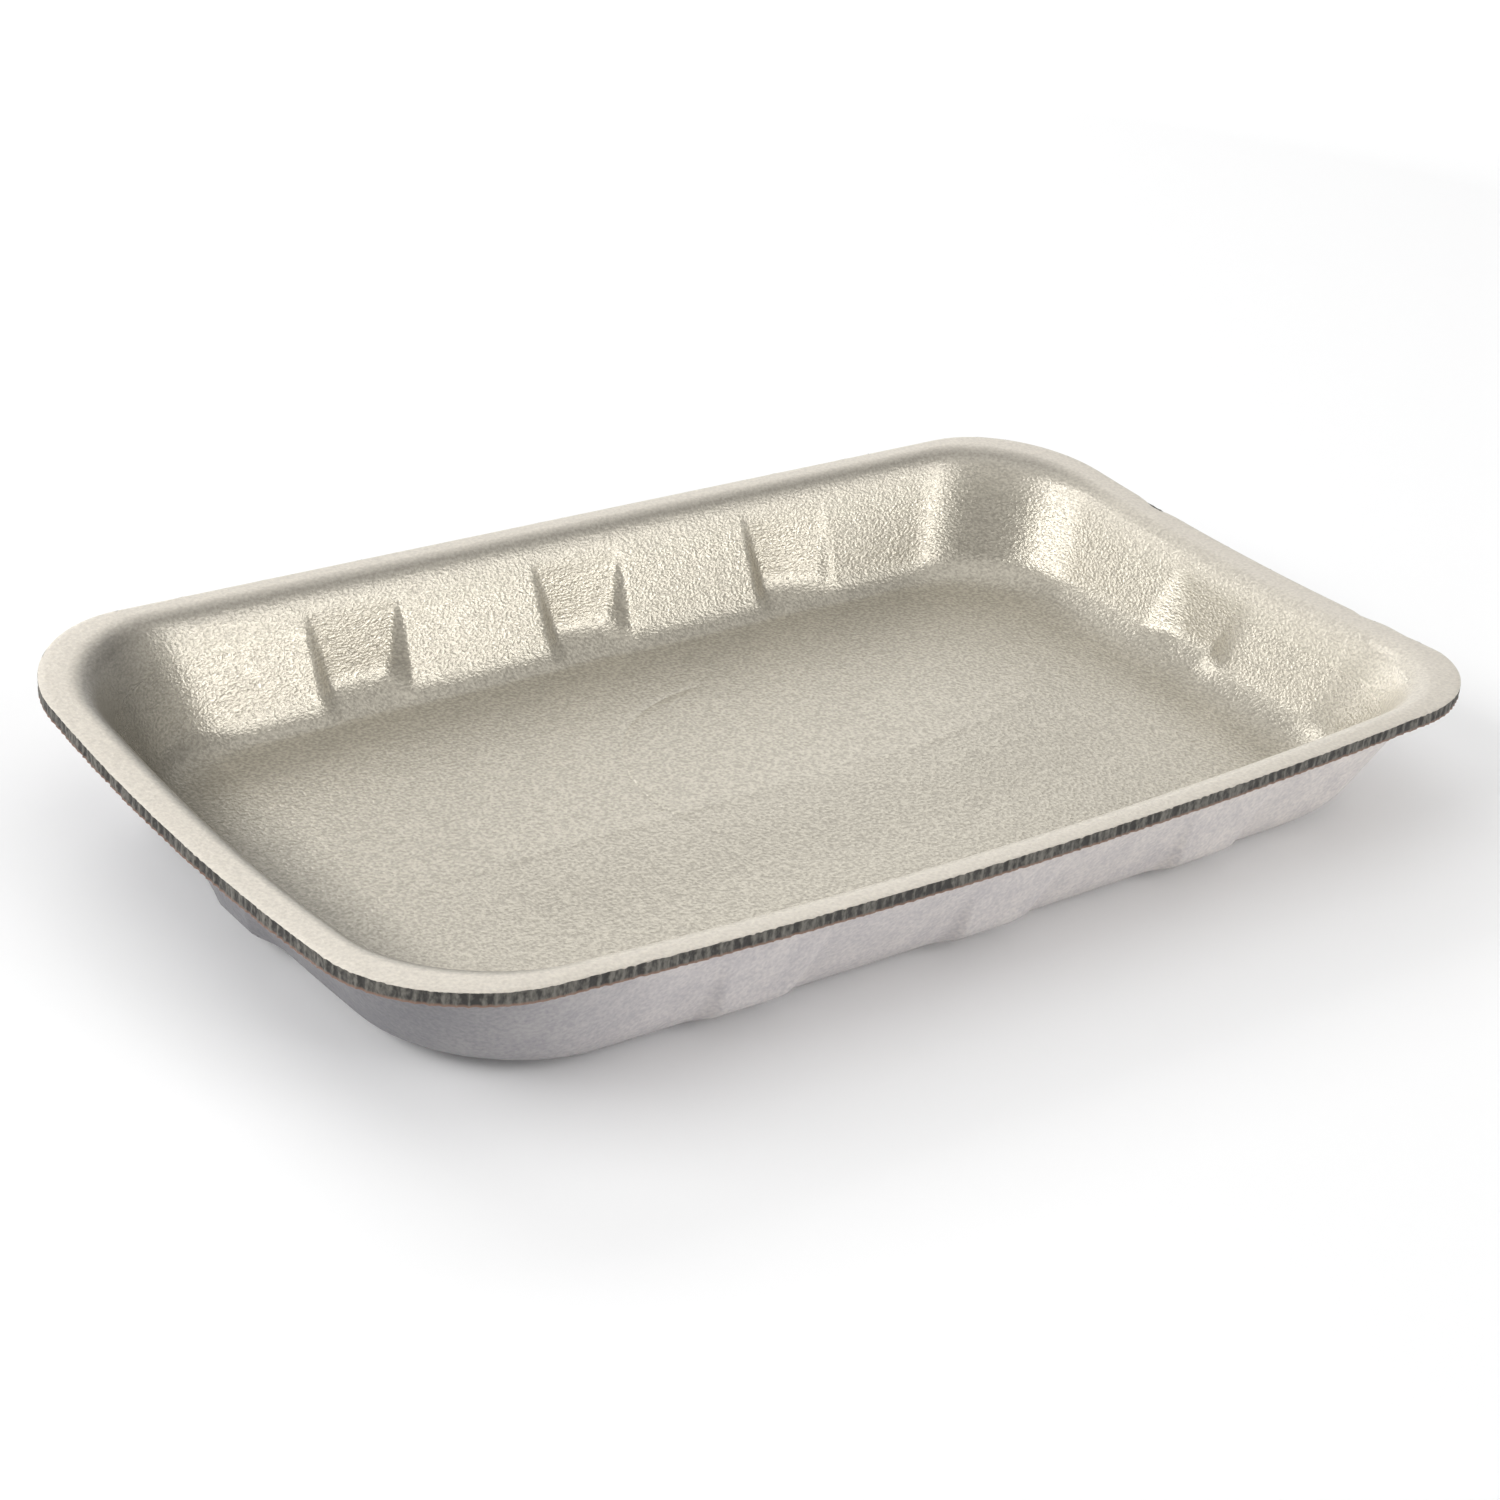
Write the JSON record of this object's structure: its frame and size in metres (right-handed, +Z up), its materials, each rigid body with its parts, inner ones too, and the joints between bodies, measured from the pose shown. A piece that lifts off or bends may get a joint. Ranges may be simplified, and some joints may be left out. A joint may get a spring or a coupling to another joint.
{
  "type": "foam food tray",
  "caption": "Rectangular one-piece foam tray with a flared rim, sloping walls and shallow wedge-shaped pockets in them, for holding fresh food.",
  "frame": {"origin": "middle of the flat underside", "axes": "+X along the length, +Y across the width, +Z up out of the open top"},
  "size_m": [0.225, 0.135, 0.025],
  "materials": {
    "foam": "foamed polystyrene sheet with a pearly, finely grained skin; dark grey where the rim is cut"
  },
  "bodies": {
    "root": {"tray": "foam"}
  },
  "joints": []
}
